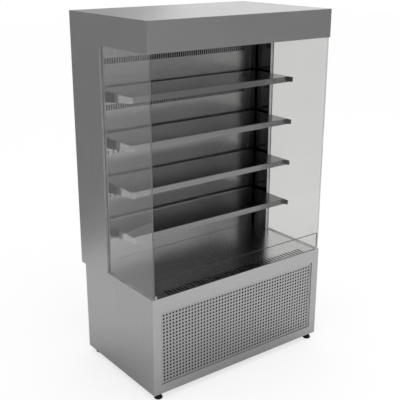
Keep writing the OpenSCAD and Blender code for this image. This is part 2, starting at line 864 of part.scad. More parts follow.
// Plate under the fans, standing on the rear ledge behind the back panel
module fan_plate() {
    y0 = duct_y + fit;
    y1 = rear_y - fit;
    fold = 15;
    color(LINER) cab() difference() {
        union() {
            span([-inner_x, y0, plate_z], [inner_x, y1, plate_z + sheet_t]);
            span([-inner_x, y0, plate_z - fold], [inner_x, y0 + sheet_t, plate_z + sheet_t]);
            for (side = [-1, 1]) sided(side)
                span([inner_x - sheet_t, y0, ledge_z], [inner_x, y1, plate_z + sheet_t]);
        }
        for (side = [-1, 1]) translate([side * evap_fan_x, duct_mid, plate_z - 1])
            cylinder(r = fan_bore_r, h = sheet_t + 2);
        for (y = [evap_tube(0).y, riser_y]) translate([riser_x, y, plate_z - 1])
            cylinder(r = pipe_r + riser_gap, h = sheet_t + 2);
    }
}

module at_evap_fan(side) {
    cab() translate([side * evap_fan_x, duct_mid, fan_z]) children();
}

// Square axial fan: frame, bored duct, four struts, motor and the rotor's pin
module evaporator_fan_frame(side) {
    screw_r = 2.2;
    screw_at = fan_side / 2 - 7;
    color(BLACK) at_evap_fan(side) {
        linear_extrude(fan_h) difference() {
            square(fan_side, center = true);
            circle(r = fan_bore_r);
            for (x = [-1, 1], y = [-1, 1]) translate([x * screw_at, y * screw_at]) circle(r = screw_r);
        }
        cylinder(r = fan_hub_r, h = fan_hub_h);
        cylinder(r = fan_pin_r, h = fan_h - 4);
        for (a = [45 : 90 : 315]) rotate(a)
            span([fan_hub_r - 1, -3, 0], [fan_bore_r + 1, 3, 4]);
    }
}

// Rotor with helical blades, bored for its pin
module fan_rotor(hub_r, tip_r, bore_r, z0, z1, blades, twist) {
    blade_t = 1.6;
    edge = 2;
    difference() {
        translate([0, 0, z0]) cylinder(r = hub_r, h = z1 - z0);
        translate([0, 0, z0 - 1]) cylinder(r = bore_r, h = z1 - z0 + 2);
    }
    for (i = [0 : blades - 1]) rotate(i * 360 / blades) translate([0, 0, z0 + edge])
        linear_extrude(z1 - z0 - 2 * edge, twist = twist, slices = 6)
            area([hub_r - 1, -blade_t / 2], [tip_r, blade_t / 2]);
}

module evaporator_rotor(side) {
    color("#3a3a3a") at_evap_fan(side)
        fan_rotor(fan_hub_r - 1, fan_bore_r - tip_gap, fan_pin_r + spin_gap,
            fan_hub_h + 1, fan_h - 2, 7, 38);
}

// Half ring of tube, open towards -X
module u_bend(radius) {
    rotate(-90) rotate_extrude(angle = 180) translate([radius, 0]) circle(r = tube_r);
}

// Finned coil: two columns of tube in one serpentine, with both ports on its right
module coil(w, d, rows, row, fin_pitch, leg) {
    h = rows * row;
    tube_end = w / 2 + coil_end_t;
    for (x = spread(floor(w / fin_pitch) - 1, fin_pitch))
        span([x - fin_t / 2, 0, 0], [x + fin_t / 2, d, h]);
    for (side = [-1, 1]) sided(side) span([w / 2, 0, -leg], [tube_end, d, h]);
    for (y = [d / 4, 3 * d / 4]) {
        for (r = [0 : rows - 1]) translate([-tube_end, y, (r + 0.5) * row]) rotate([0, 90, 0])
            cylinder(r = tube_r, h = 2 * tube_end);
        translate([w / 2, y, row / 2]) rotate([0, 90, 0]) cylinder(r = tube_r, h = coil_stub);
        for (r = [1 : 2 : rows - 2]) translate([tube_end, y, (r + 1) * row])
            rotate([90, 0, 0]) u_bend(row / 2);
        for (r = [0 : 2 : rows - 3]) translate([-tube_end, y, (r + 1) * row])
            rotate([90, 0, 180]) u_bend(row / 2);
    }
    translate([-tube_end, d / 2, (rows - 0.5) * row]) rotate(180) u_bend(d / 4);
}

module evaporator_coil() {
    color(ALUMINIUM) cab() translate([0, evap_y, evap_z])
        coil(evap_w, evap_d, evap_rows, evap_row, evap_fin_pitch, evap_rise - fit);
}

module condenser_coil() {
    color(ALUMINIUM) cab() translate([cond_x, cond_y, floor_z])
        coil(cond_w, cond_d, cond_rows, cond_row, cond_fin_pitch, 0);
}

// Fan shroud behind the condenser, with its ring, struts, wire guard, motor and pin
module condenser_fan_frame() {
    strut_z = cond_ring_d - 4;
    wire_r = 1.5;
    color(BLACK) cab() along_y([cond_x, cond_back, cond_mid_z]) {
        linear_extrude(sheet_t) difference() {
            square([cond_w, cond_h], center = true);
            circle(r = cond_bore_r);
        }
        linear_extrude(cond_ring_d) difference() {
            circle(r = cond_bore_r + sheet_t);
            circle(r = cond_bore_r);
        }
        for (a = [45 : 90 : 315]) rotate(a)
            span([cond_motor_r - 2, -4, strut_z], [cond_bore_r + sheet_t / 2, 4, cond_ring_d]);
        translate([0, 0, cond_ring_d]) for (f = [0.5, 0.67, 0.84]) rotate_extrude()
            translate([cond_bore_r * f, 0]) circle(r = wire_r, $fn = 16);
        translate([0, 0, strut_z]) cylinder(r = cond_motor_r, h = cond_motor_h);
        translate([0, 0, strut_z + cond_motor_h])
            cylinder(r1 = cond_motor_r, r2 = cond_motor_r - 14, h = 8);
        translate([0, 0, 8]) cylinder(r = cond_pin_r, h = strut_z - 7);
    }
}

module condenser_rotor() {
    color("#3a3a3a") cab() along_y([cond_x, cond_back, cond_mid_z])
        fan_rotor(cond_hub_r, cond_bore_r - tip_gap - 3, cond_pin_r + spin_gap,
            6, cond_ring_d - 6, 5, 34);
}

// Hermetic compressor on its plate and four rubber feet
module compressor() {
    plate = [2 * comp_r + 14, comp_plate_d];
    color("#2a2a2a") cab() translate([comp_x, comp_y, floor_z]) {
        for (x = [-1, 1], y = [-1, 1])
            translate([x * (plate.x / 2 - 18), y * (plate.y / 2 - 18), 0]) {
                cylinder(r = 13, h = 7);
                cylinder(r = 9, h = comp_foot_h);
            }
        plate_up(comp_foot_h, comp_plate_t) square(plate, center = true);
        translate([0, 0, comp_foot_h + comp_plate_t]) {
            rotate_extrude() {
                square([comp_r - comp_shoulder, comp_h]);
                translate([0, comp_shoulder]) square([comp_r, comp_h - 2 * comp_shoulder]);
                for (z = [comp_shoulder, comp_h - comp_shoulder]) intersection() {
                    translate([comp_r - comp_shoulder, z]) circle(r = comp_shoulder);
                    square([comp_r, comp_h]);
                }
            }
            translate([0, 0, comp_h * 0.55]) cylinder(r = comp_r + 3, h = 5);
            for (x = [-1, 1]) translate([x * comp_port_x, 0, comp_h - 5])
                cylinder(r = pipe_r, h = comp_port_h + 5);
            span([-26, -comp_r - 26, 60], [26, -comp_r + 30, 120]);
        }
    }
}

// Turns a piece drawn along Z to run from a point along an axis
module aim(p, axis) {
    u = [axis.y, axis.z, axis.x];
    v = cross(axis, u);
    multmatrix([[u.x, v.x, axis.x, p.x], [u.y, v.y, axis.y, p.y], [u.z, v.z, axis.z, p.z]])
        children();
}

// Quarter ring of pipe at a corner, arriving along u and leaving along v
module pipe_corner(p, u, v) {
    w = cross(u, v);
    c = p + (v - u) * pipe_bend;
    multmatrix([[-v.x, u.x, w.x, c.x], [-v.y, u.y, w.y, c.y], [-v.z, u.z, w.z, c.z]])
        rotate_extrude(angle = 90) translate([pipe_bend, 0]) circle(r = pipe_r);
}

// Pipe through a list of points, each leg along one axis
module pipe_run(path) {
    last = len(path) - 1;
    for (i = [0 : last - 1]) {
        axis = unit(path[i + 1] - path[i]);
        a = path[i] + axis * (i > 0 ? pipe_bend : 0);
        b = path[i + 1] - axis * (i < last - 1 ? pipe_bend : 0);
        aim(a, axis) cylinder(r = pipe_r, h = norm(b - a));
    }
    for (i = [1 : last - 1])
        pipe_corner(path[i], unit(path[i] - path[i - 1]), unit(path[i + 1] - path[i]));
}

// Discharge, liquid and suction lines, with the filter drier in the liquid line
module refrigerant_pipes() {
    port_z = comp_z + comp_h + comp_port_h;
    top_z = port_z + crossing_rise;
    hot = cond_tube(0);
    cooled = cond_tube(1);
    feed = evap_tube(0);
    return_gas = evap_tube(1);
    out_x = comp_x - comp_port_x;
    in_x = comp_x + comp_port_x;
    color(COPPER) cab() {
        pipe_run([[out_x, comp_y, port_z], [out_x, comp_y, top_z], [out_x, hot.y, top_z],
            [out_x, hot.y, hot.z], hot]);
        pipe_run([cooled, [drier_x, cooled.y, cooled.z], [drier_x, liquid_y, cooled.z],
            [riser_x, liquid_y, cooled.z], [riser_x, feed.y, cooled.z], [riser_x, feed.y, feed.z],
            feed]);
        pipe_run([return_gas, [riser_x, return_gas.y, return_gas.z],
            [riser_x, riser_y, return_gas.z], [riser_x, riser_y, suction_z],
            [in_x, riser_y, suction_z], [in_x, riser_y, top_z], [in_x, comp_y, top_z],
            [in_x, comp_y, port_z]]);
        along_y([drier_x, (cooled.y + liquid_y - drier_l) / 2, cooled.z]) {
            cylinder(r1 = pipe_r, r2 = drier_r, h = 14);
            translate([0, 0, 14]) cylinder(r = drier_r, h = drier_l - 28);
            translate([0, 0, drier_l - 14]) cylinder(r1 = drier_r, r2 = pipe_r, h = 14);
        }
    }
}

module drain_pipe() {
    z0 = floor_z + tray_h + 5;
    flange_t = 1.5;
    color("#4a4a4a") cab() translate([drain_x, drain_y, 0]) difference() {
        union() {
            translate([0, 0, z0]) cylinder(r = drain_r + drain_wall, h = tub_z - z0 + 1);
            translate([0, 0, tub_z]) cylinder(r = drain_r + drain_wall + drain_flange, h = flange_t);
        }
        translate([0, 0, z0 - 1]) cylinder(r = drain_r, h = tub_z - z0 + flange_t + 2);
    }
}

module evaporation_tray() {
    color("#4a4a4a") cab() translate([drain_x - tray_w / 2, drain_y - tray_d / 2, floor_z])
        difference() {
            cube([tray_w, tray_d, tray_h]);
            translate([tray_t, tray_t, tray_t])
                cube([tray_w - 2 * tray_t, tray_d - 2 * tray_t, tray_h]);
        }
}

module electrical_box() {
    pocket_x = rocker_w / 2 + rocker_gap;
    pocket_z = rocker_h / 2 + 3;
    color("#5a5a5a") cab() difference() {
        span([box_x - box_w / 2, box_y, floor_z], [box_x + box_w / 2, box_y + box_d, floor_z + box_h]);
        along_y([box_x + control_x, box_y - 1, control_z])
            cylinder(r = spindle_r + spin_gap, h = spindle_l + 3);
        translate([box_x - control_x, box_y, control_z]) {
            span([-pocket_x, -1, -pocket_z], [pocket_x, 14, pocket_z]);
            translate([-pocket_x - rocker_pin_l - 1, rocker_depth, 0]) rotate([0, 90, 0])
                cylinder(r = rocker_pin_r + spin_gap, h = 2 * (pocket_x + rocker_pin_l + 1));
        }
    }
}

// Rocker on a through pin, at rest with its upper half pressed in
module rocker_switch() {
    out = 4;
    dip = 1.5;
    pin_x = rocker_w / 2 + rocker_gap + rocker_pin_l;
    color(BLACK) cab() translate([box_x - control_x, box_y + rocker_depth, control_z])
        rotate([-rocker_throw / 2, 0, 0]) {
            plate_x(-rocker_w / 2, rocker_w) polygon([[2.5, -rocker_h / 2], [2.5, rocker_h / 2],
                [-out, rocker_h / 2], [-dip, 0], [-out, -rocker_h / 2]]);
            translate([-pin_x, 0, 0]) rotate([0, 90, 0]) cylinder(r = rocker_pin_r, h = 2 * pin_x);
        }
}

// Fluted knob on its spindle, with a raised pointer
module thermostat_knob() {
    flutes = 14;
    gap = 2;
    color(BLACK) cab() along_y([box_x + control_x, box_y - gap - knob_h, control_z]) {
        linear_extrude(knob_h) difference() {
            circle(r = knob_r);
            for (i = [0 : flutes - 1]) rotate(i * 360 / flutes) translate([knob_r + 1, 0])
                circle(r = 2.2, $fn = 16);
        }
        span([-1.5, -knob_r + 4, -1.5], [1.5, 0, 1]);
        cylinder(r = spindle_r, h = knob_h + gap + spindle_l);
    }
}

side_skin(-1);  // side_skin_left
side_skin(1);  // side_skin_right
side_liner(-1);  // side_liner_left
side_liner(1);  // side_liner_right
side_foam(-1);  // side_foam_left
side_foam(1);  // side_foam_right
rear_skin();
roof_skin();
inner_liner();
cabinet_foam();
tub_skin();
header_fascia();
ceiling_panel();
air_honeycomb();
lamp_housing();
lamp_diffuser();
deck_plate();
back_panel();
shelf_uprights();
shelf(1);  // shelf_1
shelf(2);  // shelf_2
shelf(3);  // shelf_3
shelf(4);  // shelf_4
bracket(-1, 1);  // bracket_left_1
bracket(1, 1);  // bracket_right_1
bracket(-1, 2);  // bracket_left_2
bracket(1, 2);  // bracket_right_2
bracket(-1, 3);  // bracket_left_3
bracket(1, 3);  // bracket_right_3
bracket(-1, 4);  // bracket_left_4
bracket(1, 4);  // bracket_right_4
side_glass(-1);  // side_glass_left
side_glass(1);  // side_glass_right
glass_gaskets();
front_glass();
front_frame();
grille_panel();
base_pan();
rear_cover();
cable_gland();
fan_plate();
evaporator_fan_frame(-1);  // evaporator_fan_frame_left
evaporator_fan_frame(1);  // evaporator_fan_frame_right
evaporator_rotor(-1);  // evaporator_rotor_left
evaporator_rotor(1);  // evaporator_rotor_right
evaporator_coil();
condenser_coil();
condenser_fan_frame();
condenser_rotor();
compressor();
refrigerant_pipes();
drain_pipe();
evaporation_tray();
electrical_box();
rocker_switch();
thermostat_knob();
foot(-1, foot_front);  // foot_front_left
foot(1, foot_front);  // foot_front_right
foot(-1, base_d - foot_rear);  // foot_rear_left
foot(1, base_d - foot_rear);  // foot_rear_right
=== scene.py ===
import math

import bmesh
import bpy
import numpy as np
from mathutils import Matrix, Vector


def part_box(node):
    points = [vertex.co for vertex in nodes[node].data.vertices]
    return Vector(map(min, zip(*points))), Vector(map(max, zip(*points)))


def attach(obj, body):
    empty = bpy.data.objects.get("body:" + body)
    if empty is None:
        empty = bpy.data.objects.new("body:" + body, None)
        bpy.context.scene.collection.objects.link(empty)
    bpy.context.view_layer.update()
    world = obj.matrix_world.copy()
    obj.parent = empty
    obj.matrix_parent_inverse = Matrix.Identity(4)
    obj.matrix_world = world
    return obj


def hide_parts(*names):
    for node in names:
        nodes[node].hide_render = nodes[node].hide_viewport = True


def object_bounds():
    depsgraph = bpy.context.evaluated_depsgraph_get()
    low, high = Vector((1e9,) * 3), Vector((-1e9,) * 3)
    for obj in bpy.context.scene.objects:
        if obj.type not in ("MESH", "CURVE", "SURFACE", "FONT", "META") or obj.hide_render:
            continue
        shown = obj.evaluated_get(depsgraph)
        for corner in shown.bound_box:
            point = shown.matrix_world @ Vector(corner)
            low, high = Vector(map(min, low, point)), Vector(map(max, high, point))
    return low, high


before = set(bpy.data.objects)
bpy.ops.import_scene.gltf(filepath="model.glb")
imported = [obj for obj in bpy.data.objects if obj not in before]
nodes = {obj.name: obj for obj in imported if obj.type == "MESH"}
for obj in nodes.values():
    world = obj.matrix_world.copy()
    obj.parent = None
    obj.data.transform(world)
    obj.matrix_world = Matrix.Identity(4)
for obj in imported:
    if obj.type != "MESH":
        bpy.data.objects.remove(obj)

# Looks of the refrigerated display case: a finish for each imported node, fine trim, pieces that
# stand in for nodes, and the studio. All lengths are in metres
cadBox = [list(corner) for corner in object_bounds()]
print("frame loaded:", len(nodes), "nodes")


def startMaterial(name, color, metallic=0.0, roughness=0.5, specular=0.5):
    mat = bpy.data.materials.new(name)
    mat.use_nodes = True
    shader = mat.node_tree.nodes["Principled BSDF"]
    shader.inputs["Base Color"].default_value = (*color, 1)
    shader.inputs["Metallic"].default_value = metallic
    shader.inputs["Roughness"].default_value = roughness
    shader.inputs["Specular IOR Level"].default_value = specular
    return mat, mat.node_tree, shader


def objectSpace(tree, scale=(1, 1, 1)):
    coords = tree.nodes.new("ShaderNodeTexCoord")
    mapping = tree.nodes.new("ShaderNodeMapping")
    mapping.inputs["Scale"].default_value = scale
    tree.links.new(coords.outputs["Object"], mapping.inputs["Vector"])
    return mapping.outputs["Vector"]


# Coordinates whose pattern is drawn out along one axis
def drawnOut(tree, across, along, axis):
    scale = [across] * 3
    scale["xyz".index(axis)] = along
    return objectSpace(tree, scale)


def noiseOf(tree, vector, scale=1.0, detail=2.0, rough=0.5):
    noise = tree.nodes.new("ShaderNodeTexNoise")
    noise.inputs["Scale"].default_value = scale
    noise.inputs["Detail"].default_value = detail
    noise.inputs["Roughness"].default_value = rough
    tree.links.new(vector, noise.inputs["Vector"])
    return noise.outputs["Fac"]


def cellsOf(tree, scale):
    cells = tree.nodes.new("ShaderNodeTexVoronoi")
    cells.inputs["Scale"].default_value = scale
    tree.links.new(objectSpace(tree), cells.inputs["Vector"])
    return cells.outputs


# A noise lies mostly between 0.3 and 0.7, so that range is spread from low to high
def rangeOf(tree, value, low, high, fromLow=0.3, fromHigh=0.7):
    mapped = tree.nodes.new("ShaderNodeMapRange")
    mapped.inputs["From Min"].default_value = fromLow
    mapped.inputs["From Max"].default_value = fromHigh
    mapped.inputs["To Min"].default_value = low
    mapped.inputs["To Max"].default_value = high
    tree.links.new(value, mapped.inputs["Value"])
    return mapped.outputs["Result"]


def mathOf(tree, operation, first, second):
    result = tree.nodes.new("ShaderNodeMath")
    result.operation = operation
    for socket, value in zip(result.inputs, (first, second)):
        if hasattr(value, "links"):
            tree.links.new(value, socket)
        else:
            socket.default_value = value
    return result.outputs[0]


# A Mix node's color inputs are its sockets 6 and 7, and its color output is socket 2
def mixColors(tree, factor, first, second):
    mix = tree.nodes.new("ShaderNodeMix")
    mix.data_type = "RGBA"
    for socket, value in ((mix.inputs[6], first), (mix.inputs[7], second)):
        if hasattr(value, "links"):
            tree.links.new(value, socket)
        else:
            socket.default_value = (*value, 1)
    tree.links.new(factor, mix.inputs[0])
    return mix.outputs[2]


def mixShaders(tree, factor, first, second):
    mix = tree.nodes.new("ShaderNodeMixShader")
    for socket, value in zip(mix.inputs, (factor, first, second)):
        tree.links.new(value, socket)
    tree.links.new(mix.outputs[0], tree.nodes["Material Output"].inputs["Surface"])


def tintFrom(tree, shader, factor, first, second):
    tree.links.new(mixColors(tree, factor, first, second), shader.inputs["Base Color"])


def roughnessFrom(tree, shader, value):
    tree.links.new(value, shader.inputs["Roughness"])


def bumpFrom(tree, shader, height, strength, distance):
    bump = tree.nodes.new("ShaderNodeBump")
    bump.inputs["Strength"].default_value = strength
    bump.inputs["Distance"].default_value = distance
    tree.links.new(height, bump.inputs["Height"])
    tree.links.new(bump.outputs["Normal"], shader.inputs["Normal"])


def shade(color, factor):
    return tuple(min(1.0, channel * factor) for channel in color)


# Brushed stainless sheet: fine hairlines along one axis, wider faint streaks, soft handling marks.
# The tint follows hairline + streak, and the roughness follows the marks and a little the hairline
brushing = {"hair": 700.0, "hairAlong": 3.0, "streak": 55.0, "streakAlong": 0.6, "mark": 2.1,
            "sumLow": 0.7, "sumHigh": 1.3, "dark": 0.975, "light": 1.025, "hairRoughness": 0.01,
            "bump": 0.04, "bumpDepth": 0.0001}


def brushedSteel(name, color, grain="z", roughness=0.33, smudge=0.03):
    mat, tree, shader = startMaterial(name, color, metallic=1.0, roughness=roughness)
    hairline = noiseOf(tree, drawnOut(tree, brushing["hair"], brushing["hairAlong"], grain),
                       detail=3.0, rough=0.6)
    streak = noiseOf(tree, drawnOut(tree, brushing["streak"], brushing["streakAlong"], grain))
    mark = noiseOf(tree, objectSpace(tree, [brushing["mark"]] * 3), detail=4.0, rough=0.55)
    factor = rangeOf(tree, mathOf(tree, "ADD", hairline, streak), 0, 1, brushing["sumLow"],
                     brushing["sumHigh"])
    tintFrom(tree, shader, factor, shade(color, brushing["dark"]), shade(color, brushing["light"]))
    markRoughness = rangeOf(tree, mark, roughness - smudge, roughness + smudge)
    hairRoughness = rangeOf(tree, hairline, -brushing["hairRoughness"], brushing["hairRoughness"])
    roughnessFrom(tree, shader, mathOf(tree, "ADD", markRoughness, hairRoughness))
    bumpFrom(tree, shader, hairline, brushing["bump"], brushing["bumpDepth"])
    return mat


# Hot-dip galvanised sheet: overlapping spangles of slightly different grey and gloss
spangle = {"scale": 70.0, "dark": 0.92, "light": 1.07, "smoothest": 0.41, "roughest": 0.5}


def galvanised(name, color):
    mat, tree, shader = startMaterial(name, color, metallic=0.85, roughness=0.45)
    channels = tree.nodes.new("ShaderNodeSeparateColor")
    tree.links.new(cellsOf(tree, spangle["scale"])["Color"], channels.inputs["Color"])
    tintFrom(tree, shader, channels.outputs[0], shade(color, spangle["dark"]),
             shade(color, spangle["light"]))
    roughnessFrom(tree, shader, rangeOf(tree, channels.outputs[1], spangle["smoothest"],
                                        spangle["roughest"], 0, 1))
    return mat


# Aluminium as rolled: faint lines along one axis and a dull oxide bloom
rolled = {"line": 260.0, "lineAlong": 4.0, "bloom": 9.0, "dark": 0.85, "light": 1.06,
          "smoothest": 0.34, "roughest": 0.52, "bump": 0.1, "bumpDepth": 0.0002}


def bareAluminium(name, color, grain="z"):
    mat, tree, shader = startMaterial(name, color, metallic=1.0, roughness=0.4)
    lines = noiseOf(tree, drawnOut(tree, rolled["line"], rolled["lineAlong"], grain))
    bloom = noiseOf(tree, objectSpace(tree, [rolled["bloom"]] * 3), detail=5.0)
    tintFrom(tree, shader, rangeOf(tree, bloom, 0, 1), shade(color, rolled["dark"]),
             shade(color, rolled["light"]))
    roughnessFrom(tree, shader, rangeOf(tree, bloom, rolled["smoothest"], rolled["roughest"]))
    bumpFrom(tree, shader, lines, rolled["bump"], rolled["bumpDepth"])
    return mat


# Moulded plastic, rubber or powder coat: fine grain of a given depth, a little wear in the gloss
moulding = {"wear": 14.0, "dark": 0.85, "light": 1.2, "polished": 0.08, "dulled": 0.1,
            "bump": 0.25}


def moulded(name, color, roughness=0.5, grain=900.0, depth=0.0002, specular=0.5):
    mat, tree, shader = startMaterial(name, color, roughness=roughness, specular=specular)
    texture = noiseOf(tree, objectSpace(tree), scale=grain)
    wear = noiseOf(tree, objectSpace(tree), scale=moulding["wear"], detail=5.0)
    tintFrom(tree, shader, rangeOf(tree, wear, 0, 1), shade(color, moulding["dark"]),
             shade(color, moulding["light"]))
    roughnessFrom(tree, shader, rangeOf(tree, wear, roughness - moulding["polished"],
                                        roughness + moulding["dulled"]))
    bumpFrom(tree, shader, texture, moulding["bump"], depth)
    return mat


# Copper tube with patches of darker tarnish
tarnish = {"patch": 22.0, "start": 0.4, "full": 0.65, "color": (0.2, 0.1, 0.07), "smoothest": 0.22,
           "roughest": 0.5, "bump": 0.1, "bumpDepth": 0.0003}


def tarnishedCopper(name, color):
    mat, tree, shader = startMaterial(name, color, metallic=1.0, roughness=0.3)
    patch = noiseOf(tree, objectSpace(tree), scale=tarnish["patch"], detail=6.0, rough=0.65)
    tintFrom(tree, shader, rangeOf(tree, patch, 0, 1, tarnish["start"], tarnish["full"]), color,
             tarnish["color"])
    roughnessFrom(tree, shader, rangeOf(tree, patch, tarnish["smoothest"], tarnish["roughest"]))
    bumpFrom(tree, shader, patch, tarnish["bump"], tarnish["bumpDepth"])
    return mat


# Clear pane, whose gloss rises with ior. Lamps pass straight through it, by a Light Path mix
wiping = {"across": 5.0, "along": 1.5, "dark": 0.97, "lampTint": 1.1}


def clearPane(name, color, ior):
    mat, tree, shader = startMaterial(name, color, roughness=0.0)
    shader.inputs["Transmission Weight"].default_value = 1.0
    shader.inputs["IOR"].default_value = ior
    wipe = noiseOf(tree, drawnOut(tree, wiping["across"], wiping["along"], "z"), detail=4.0)
    tintFrom(tree, shader, rangeOf(tree, wipe, 0, 1), color, shade(color, wiping["dark"]))
    path = tree.nodes.new("ShaderNodeLightPath")
    either = mathOf(tree, "MAXIMUM", path.outputs["Is Shadow Ray"], path.outputs["Is Diffuse Ray"])
    clear = tree.nodes.new("ShaderNodeBsdfTransparent")
    clear.inputs["Color"].default_value = (*shade(color, wiping["lampTint"]), 1)
    mixShaders(tree, either, shader.outputs[0], clear.outputs[0])
    return mat


# Poured foam: small cells and uneven colour
pouring = {"cells": 450.0, "cloud": 6.0, "dark": 0.85, "light": 1.08, "bump": 0.5,
           "bumpDepth": 0.0008}


def pouredFoam(name, color, specular=0.5):
    mat, tree, shader = startMaterial(name, color, roughness=0.9, specular=specular)
    cloud = noiseOf(tree, objectSpace(tree), scale=pouring["cloud"], detail=5.0)
    tintFrom(tree, shader, rangeOf(tree, cloud, 0, 1), shade(color, pouring["dark"]),
             shade(color, pouring["light"]))
    bumpFrom(tree, shader, cellsOf(tree, pouring["cells"])["Distance"], pouring["bump"],
             pouring["bumpDepth"])
    return mat


def gray(level):
    return (level, level, level)


# How each finish is made: its function and what that function is told. The low pane's ior is that
# of glass coated against reflections
recipes = {
    # The stainless parts are one brushed steel in lit and shaded copies: each part's grey is set
    # lighter or darker to paint in the light and shade that falls on it. The roof and deck are lit
    # copies, the liners and shelves shaded copies
    "wallSteel": (brushedSteel, {"color": gray(0.335), "grain": "z"}),
    "headerSteel": (brushedSteel, {"color": gray(0.315), "grain": "x"}),
    "roofSteel": (brushedSteel, {"color": gray(0.46), "grain": "x", "roughness": 0.3}),
    "baseSteel": (brushedSteel, {"color": gray(0.39), "grain": "x", "roughness": 0.3}),
    "panelSteel": (brushedSteel, {"color": gray(0.36), "grain": "x", "roughness": 0.3}),
    "linerSteel": (brushedSteel, {"color": gray(0.14), "grain": "z", "roughness": 0.16,
                                  "smudge": 0.02}),
    "backSteel": (brushedSteel, {"color": gray(0.32), "grain": "z", "roughness": 0.24,
                                 "smudge": 0.02}),
    "deckSteel": (brushedSteel, {"color": gray(0.79), "grain": "x", "roughness": 0.22,
                                 "smudge": 0.02}),
    "shelfSteel": (brushedSteel, {"color": gray(0.205), "grain": "x", "roughness": 0.18,
                                  "smudge": 0.02}),
    "bracketSteel": (brushedSteel, {"color": gray(0.31), "grain": "y", "roughness": 0.15}),
    # The inner liner and fan plate are a near-black copy of the steel: painted shade behind the
    # deck and air slots
    "ductSteel": (brushedSteel, {"color": (0.015, 0.015, 0.016), "grain": "z", "roughness": 0.6}),
    "galvanisedSheet": (galvanised, {"color": (0.42, 0.43, 0.44)}),
    # The tub skin and base pan are galvanised sheet darkened to paint in the shade of the machine
    # compartment behind the grille
    "machineSheet": (galvanised, {"color": (0.16, 0.165, 0.17)}),
    "screwSteel": (galvanised, {"color": (0.5, 0.5, 0.51)}),
    "aluminium": (bareAluminium, {"color": (0.66, 0.67, 0.68)}),
    # The evaporator fins are aluminium darkened to paint in the shade inside the air duct
    "finStock": (bareAluminium, {"color": (0.2, 0.204, 0.208), "grain": "y"}),
    "copperTube": (tarnishedCopper, {"color": (0.5, 0.25, 0.15)}),
    # The end panes are one glass in two tints: the right pane's darker tint is partly the loss
    # through a double pane and partly painted shade
    "leftGlass": (clearPane, {"color": (0.96, 0.96, 0.955), "ior": 1.42}),
    "rightGlass": (clearPane, {"color": (0.66, 0.66, 0.65), "ior": 1.45}),
    "lowGlass": (clearPane, {"color": (0.97, 0.975, 0.97), "ior": 1.04}),
    # The ground edges are one edge in lit and shaded copies: the dark left and low edges are
    # painted shade, the pale right edge painted light
    "leftEdgeFinish": (moulded, {"color": gray(0.1), "roughness": 0.6, "grain": 800.0,
                                 "depth": 0.0001}),
    "rightEdgeFinish": (moulded, {"color": (0.8, 0.8, 0.79), "roughness": 0.6, "grain": 800.0,
                                  "depth": 0.0001}),
    "lowEdgeFinish": (moulded, {"color": (0.03, 0.032, 0.031), "roughness": 0.4, "grain": 800.0,
                                "depth": 0.0001}),
    # The sealant is one grey in a shaded copy on the left and a lit copy on the right: painted
    # shade and painted light
    "leftSealant": (moulded, {"color": (0.22, 0.22, 0.218), "roughness": 0.45, "grain": 500.0,
                              "depth": 0.0001}),
    "rightSealant": (moulded, {"color": (0.6, 0.6, 0.595), "roughness": 0.45, "grain": 500.0,
                               "depth": 0.0001}),
    "greyRubber": (moulded, {"color": gray(0.4), "roughness": 0.6, "grain": 600.0}),
    "grilleRubber": (moulded, {"color": gray(0.3), "grain": 500.0, "depth": 0.0001}),
    "footRubber": (moulded, {"color": gray(0.008), "grain": 700.0, "depth": 0.0001,
                             "specular": 0.12}),
    "opalDiffuser": (moulded, {"color": (0.86, 0.86, 0.84), "roughness": 0.55, "grain": 1200.0,
                               "depth": 0.0001}),
    "blackPlastic": (moulded, {"color": (0.018, 0.018, 0.019), "roughness": 0.42}),
    # The drain pipe, evaporation tray and electrical box are near black to paint in the shade of
    # the machine compartment
    "greyPlastic": (moulded, {"color": (0.07, 0.072, 0.075)}),
    "blackPaint": (moulded, {"color": (0.022, 0.022, 0.023), "roughness": 0.35, "grain": 350.0,
                             "depth": 0.0003}),
    "finPaint": (moulded, {"color": (0.03, 0.031, 0.032), "roughness": 0.45, "grain": 350.0}),
    "filterFoam": (pouredFoam, {"color": (0.008, 0.008, 0.009), "specular": 0.05}),
    "foamFill": (pouredFoam, {"color": (0.72, 0.62, 0.4)}),
}
finishes = {name: make(name, **settings) for name, (make, settings) in recipes.items()}
